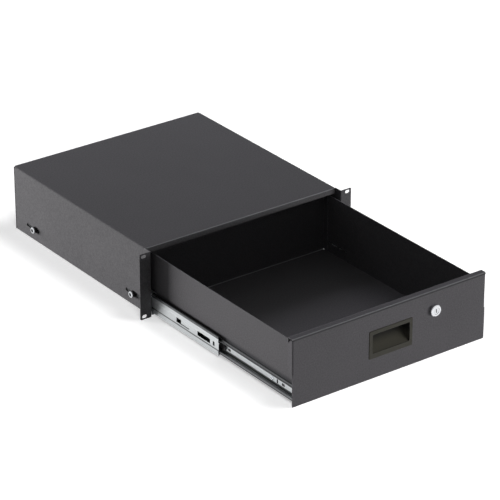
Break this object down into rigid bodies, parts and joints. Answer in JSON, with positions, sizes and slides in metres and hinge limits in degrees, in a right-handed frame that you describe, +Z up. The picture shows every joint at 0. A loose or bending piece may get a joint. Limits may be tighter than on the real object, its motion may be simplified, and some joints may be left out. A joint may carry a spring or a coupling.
{
  "type": "rack drawer",
  "caption": "Lockable 3U rack drawer: folded case with rack ears, steel tray on ball-bearing slides, front panel with recessed pull and cam lock.",
  "frame": {"origin": "middle of the four rack screw slots, on the back faces of the ears", "axes": "+X across the rack to the right seen from the front, +Y back into the rack, +Z up"},
  "size_m": [0.4826, 0.8889, 0.132],
  "materials": {
    "case_paint": "fine textured powder coat, charcoal",
    "panel_paint": "fine textured powder coat, dark grey",
    "tray_paint": "fine textured powder coat, dark grey",
    "zinc_rail": "bright zinc plated rolled steel",
    "cage_steel": "pressed strip",
    "ball_steel": "ground and polished",
    "bolt_steel": "bright zinc plated",
    "screw_black": "black oxide",
    "spacer_nylon": "black nylon",
    "lever_plastic": "black acetal",
    "handle_plastic": "moulded, satin",
    "buffer_rubber": "black rubber",
    "lock_chrome": "polished chrome plate",
    "cam_steel": "zinc plated"
  },
  "bodies": {
    "case": {"case_shell": "case_paint", "rear_panel": "case_paint", "rear_panel_screws": "screw_black", "closing_buffers": "buffer_rubber", "outer_rail_left": "zinc_rail", "outer_rail_right": "zinc_rail", "rail_bolts_left": "bolt_steel", "rail_bolts_right": "bolt_steel", "bolt_spacers_left": "spacer_nylon", "bolt_spacers_right": "spacer_nylon"},
    "middle_rails": {"middle_rail_left": "zinc_rail", "middle_rail_right": "zinc_rail"},
    "outer_cages": {"outer_cage_left": "cage_steel", "outer_cage_right": "cage_steel", "outer_balls": "ball_steel"},
    "inner_cages": {"inner_cage_left": "cage_steel", "inner_cage_right": "cage_steel", "inner_balls": "ball_steel"},
    "drawer": {"drawer_tray": "tray_paint", "front_panel": "panel_paint", "panel_studs": "bolt_steel", "panel_nuts": "bolt_steel", "handle": "handle_plastic", "lock_housing": "lock_chrome", "lock_washer": "cam_steel", "lock_nut": "cam_steel", "inner_rail_left": "zinc_rail", "inner_rail_right": "zinc_rail", "inner_rail_screws_left": "bolt_steel", "inner_rail_screws_right": "bolt_steel", "lever_rivet_left": "bolt_steel", "lever_rivet_right": "bolt_steel"},
    "lock_barrel": {"lock_plug": "lock_chrome", "lock_cam": "cam_steel", "cam_screw": "bolt_steel"},
    "left_lever": {"release_lever_left": "lever_plastic"},
    "right_lever": {"release_lever_right": "lever_plastic"}
  },
  "joints": [
    {"name": "drawer_slide", "type": "slide", "parent": "case", "child": "drawer", "axis": [0, -1, 0], "range_m": [-0.4193, 0.0307]},
    {"name": "middle_rail_slide", "type": "slide", "parent": "case", "child": "middle_rails", "axis": [0, -1, 0], "range_m": [-0.20965, 0.01535]},
    {"name": "outer_cage_slide", "type": "slide", "parent": "case", "child": "outer_cages", "axis": [0, -1, 0], "range_m": [-0.10483, 0.00768]},
    {"name": "inner_cage_slide", "type": "slide", "parent": "case", "child": "inner_cages", "axis": [0, -1, 0], "range_m": [-0.31448, 0.02303]},
    {"name": "lock_turn", "type": "hinge", "parent": "drawer", "child": "lock_barrel", "pos_m": [0.097, -0.4208, 0.0275], "axis": [0, -1, 0], "range_deg": [0, 90]},
    {"name": "left_lever_rock", "type": "hinge", "parent": "drawer", "child": "left_lever", "pos_m": [-0.2065, -0.1695, -0.0415], "axis": [1, 0, 0], "range_deg": [0, 4]},
    {"name": "right_lever_rock", "type": "hinge", "parent": "drawer", "child": "right_lever", "pos_m": [0.2065, -0.1695, -0.0415], "axis": [1, 0, 0], "range_deg": [0, 4]}
  ],
  "couplings": [
    {"joint": "middle_rail_slide", "follows": "drawer_slide", "ratio": 0.5},
    {"joint": "outer_cage_slide", "follows": "drawer_slide", "ratio": 0.25},
    {"joint": "inner_cage_slide", "follows": "drawer_slide", "ratio": 0.75}
  ]
}
